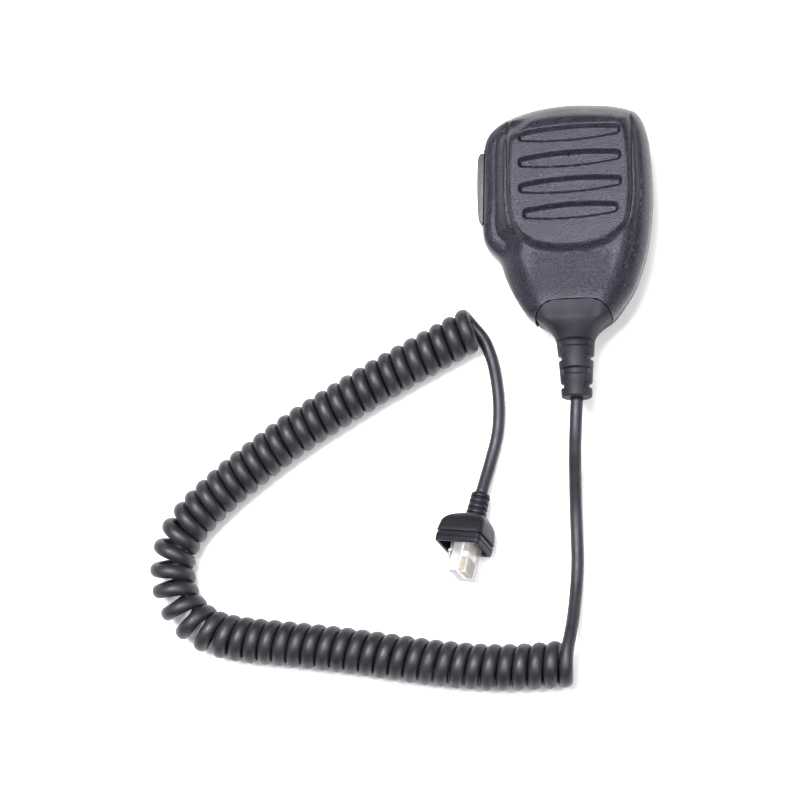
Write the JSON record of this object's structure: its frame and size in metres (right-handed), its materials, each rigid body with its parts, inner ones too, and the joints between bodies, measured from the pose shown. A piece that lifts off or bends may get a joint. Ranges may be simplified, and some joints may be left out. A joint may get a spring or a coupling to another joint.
{
  "type": "hand microphone",
  "caption": "Hand microphone for a mobile two-way radio, with a side talk key, slotted grille, hanger button and a curly cord ending in a booted modular plug.",
  "frame": {"origin": "centre of the outer face of the hanger button on the back of the case", "axes": "+Z comes out of the grille, +Y points to the top of the case, +X to its right as seen from the front; the microphone lies on its back and its cord lies on the surface z = 0"},
  "size_m": [0.2034, 0.2287, 0.0334],
  "materials": {
    "case_plastic": "fine moulded grain",
    "key_plastic": "satin",
    "rubber": "matte",
    "cord_jacket": "satin polyurethane",
    "clear_plastic": "clear polycarbonate",
    "gold_contact": "gold plated",
    "steel": "plated",
    "hanger_metal": "nickel plated",
    "circuit_board": "solder mask over glass fibre",
    "component_black": "moulded epoxy",
    "component_tan": "ceramic and sleeve",
    "ivory_plastic": "nylon",
    "capsule_metal": "satin",
    "felt": "felt",
    "wire_insulation": "coloured insulation"
  },
  "bodies": {
    "mic_body": {"front_case": "case_plastic", "rear_case": "case_plastic", "case_screws": "steel", "ptt_pivot_pin": "steel", "ptt_switch_body": "component_black", "ptt_switch_pins": "steel", "circuit_board": "circuit_board", "board_screws": "steel", "amplifier_chip": "component_black", "board_capacitors": "component_tan", "mic_capsule": "capsule_metal", "capsule_holder": "rubber", "dust_screen": "felt", "capsule_wires": "wire_insulation", "wire_header": "ivory_plastic", "wire_plug": "ivory_plastic", "cord_conductors": "wire_insulation", "cord_inner_end": "cord_jacket", "cord_clamp": "steel", "clamp_screws": "steel", "hanger_button": "hanger_metal", "hanger_screw": "steel", "hanger_washer": "steel", "strain_relief": "rubber", "cord_lead_mic": "cord_jacket", "cord_coil": "cord_jacket", "cord_lead_plug": "cord_jacket", "cord_plug_end": "cord_jacket", "plug_boot": "rubber", "plug_body": "clear_plastic", "plug_contacts": "gold_contact", "plug_conductors": "wire_insulation"},
    "talk_key": {"ptt_button": "key_plastic"},
    "switch_plunger": {"ptt_switch_plunger": "ivory_plastic"},
    "latch": {"plug_latch": "clear_plastic"}
  },
  "joints": [
    {"name": "talk_key_press", "type": "hinge", "parent": "mic_body", "child": "talk_key", "pos_m": [-0.0305, 0.0145, 0.016], "axis": [0, 0, 1], "range_deg": [0, 3.2], "stiffness_Nm_per_rad": 1, "springref_deg": -1.72},
    {"name": "switch_press", "type": "slide", "parent": "mic_body", "child": "switch_plunger", "axis": [1, 0, 0], "range_m": [0, 0.00125]},
    {"name": "latch_press", "type": "hinge", "parent": "mic_body", "child": "latch", "pos_m": [-0.04964, -0.14967, 0.0135], "axis": [0.2294, -0.3058, -0.9241], "range_deg": [0, 9], "stiffness_Nm_per_rad": 0.06}
  ],
  "couplings": [
    {"joint": "switch_press", "follows": "talk_key_press", "m_per_rad": 0.0205}
  ]
}
